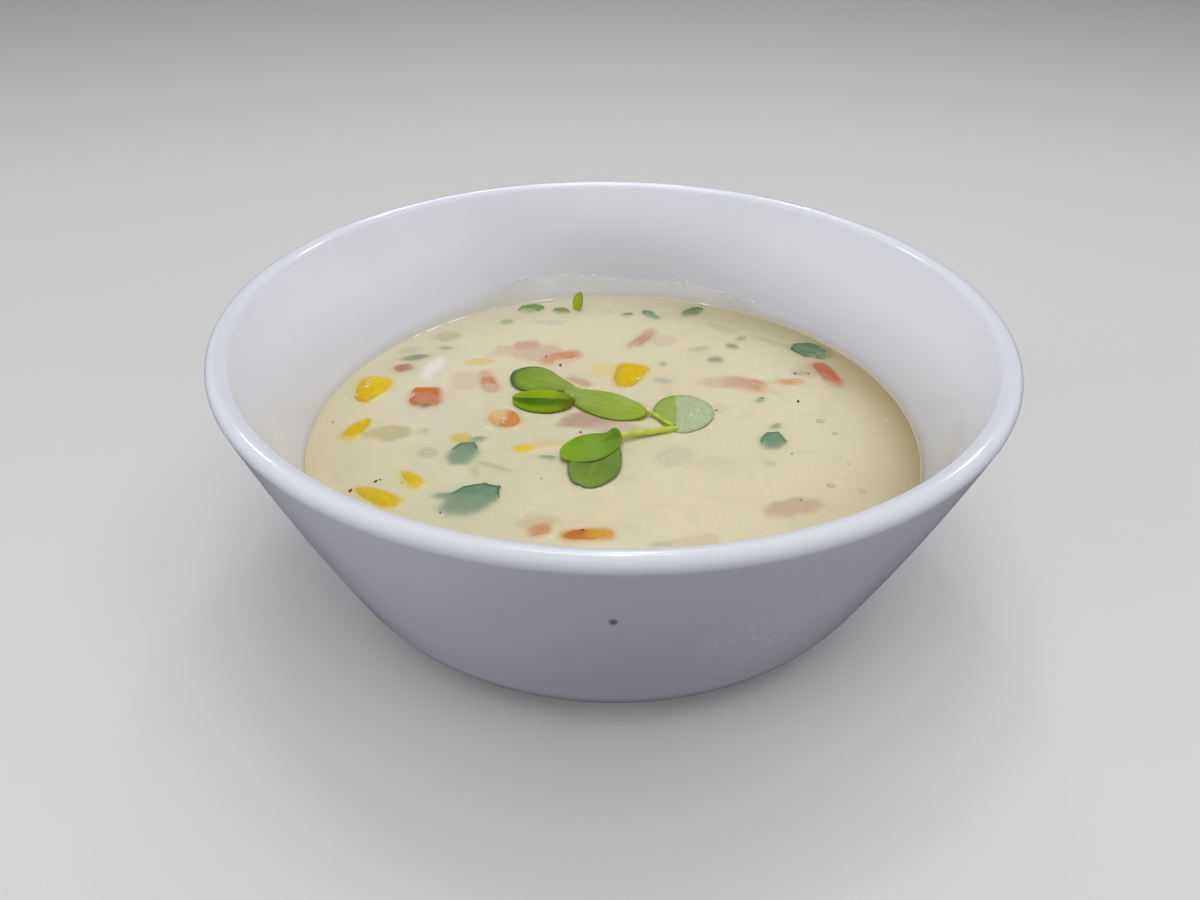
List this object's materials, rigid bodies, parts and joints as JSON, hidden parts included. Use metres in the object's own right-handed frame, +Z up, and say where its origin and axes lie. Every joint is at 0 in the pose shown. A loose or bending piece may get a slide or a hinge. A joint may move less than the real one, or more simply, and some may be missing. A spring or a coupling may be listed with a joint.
{
  "type": "chowder in a white bowl",
  "caption": "Round white bowl of creamy corn chowder with pepper, ham and herbs, topped with a leafy sprig; stands on its foot ring.",
  "frame": {"origin": "centre of the foot ring's base, on the surface the bowl stands on", "axes": "+Z up along the bowl's axis; +Y away from the picture's camera; +X to its right"},
  "size_m": [0.155, 0.155, 0.0594],
  "materials": {
    "bowl": "smooth white glaze, satin gloss, lightly scuffed outside",
    "soup": "wet, opaque cream",
    "corn": "wet, slightly translucent",
    "pepper": "wet, slightly translucent",
    "ham": "wet",
    "sprig": "fresh leaf, satin, wet in places"
  },
  "bodies": {
    "root": {"bowl": "bowl", "soup": "soup", "corn_left_back": "corn", "corn_left": "corn", "corn_front_small": "corn", "corn_front": "corn", "corn_back": "corn", "pepper_left": "pepper", "pepper_left_back": "pepper", "pepper_back": "pepper", "pepper_far": "pepper", "pepper_right": "pepper", "pepper_far_right": "pepper", "pepper_front_left": "pepper", "pepper_front": "pepper", "ham_left": "ham", "ham_peach": "ham", "ham_right": "ham", "sprig": "sprig"}
  },
  "joints": []
}
